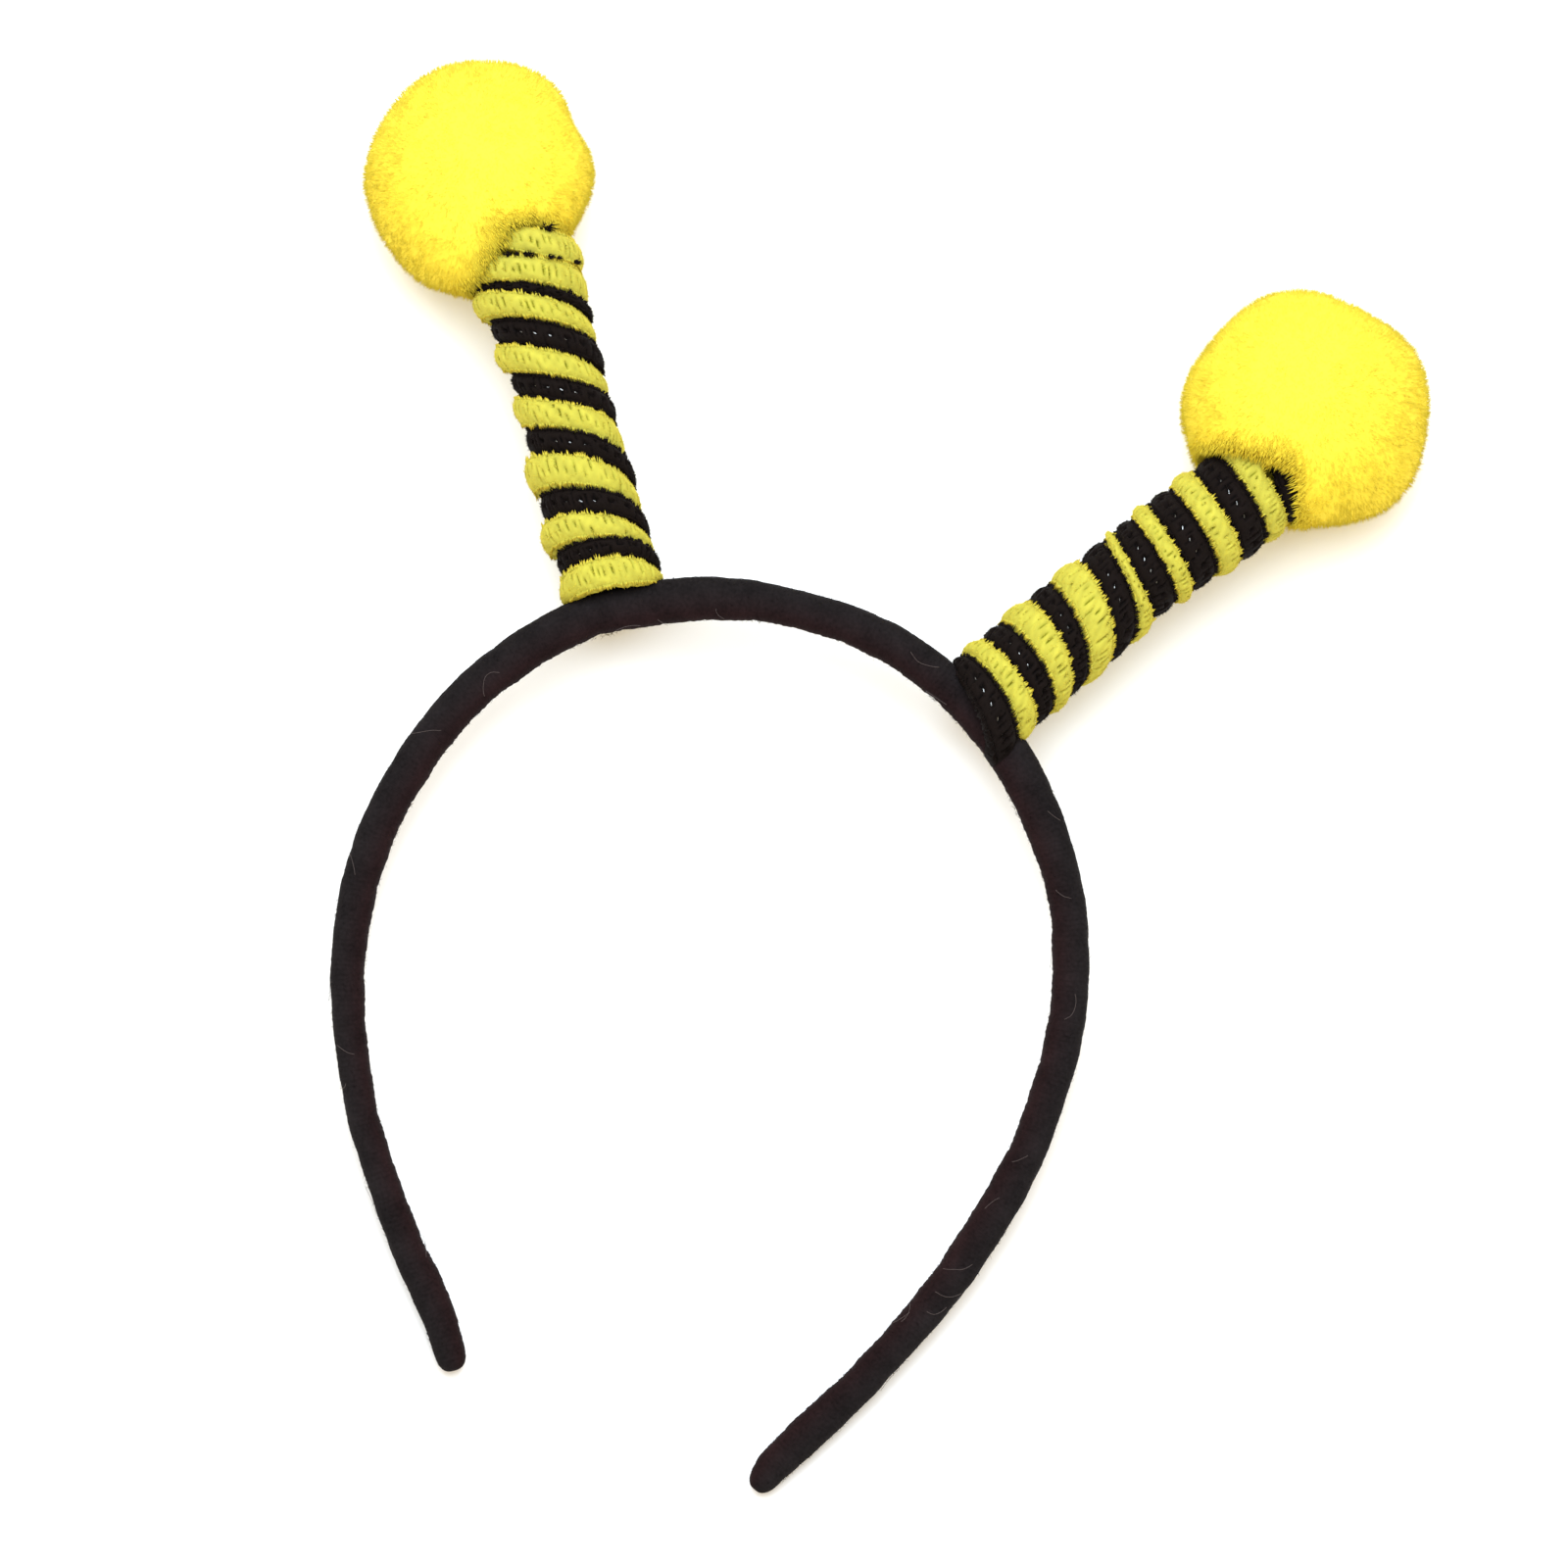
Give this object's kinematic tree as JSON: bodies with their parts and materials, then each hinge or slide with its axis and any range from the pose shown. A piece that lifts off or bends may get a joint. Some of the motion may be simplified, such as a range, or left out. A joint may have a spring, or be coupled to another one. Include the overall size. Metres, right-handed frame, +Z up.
{
  "type": "antenna headband",
  "caption": "Costume headband: a black cloth-covered hoop with springy striped chenille antennae that end in fluffy yellow pompoms.",
  "frame": {"origin": "middle of the outline seen from above, on the surface that the headband lies on", "axes": "+Z up from the surface, +Y from the band's tips towards the pompoms, +X to the right seen from above"},
  "size_m": [0.1962, 0.2362, 0.0428],
  "materials": {
    "cloth_black": "matte woven cloth, slightly fuzzy",
    "pile_black": "matte chenille pile",
    "pile_yellow": "soft chenille pile",
    "pompom_yellow": "soft fluffy fibre"
  },
  "bodies": {
    "root": {"band": "cloth_black", "chenille_black_left": "pile_black", "chenille_yellow_left": "pile_yellow", "pompom_left": "pompom_yellow", "chenille_black_right": "pile_black", "chenille_yellow_right": "pile_yellow", "pompom_right": "pompom_yellow"}
  },
  "joints": []
}
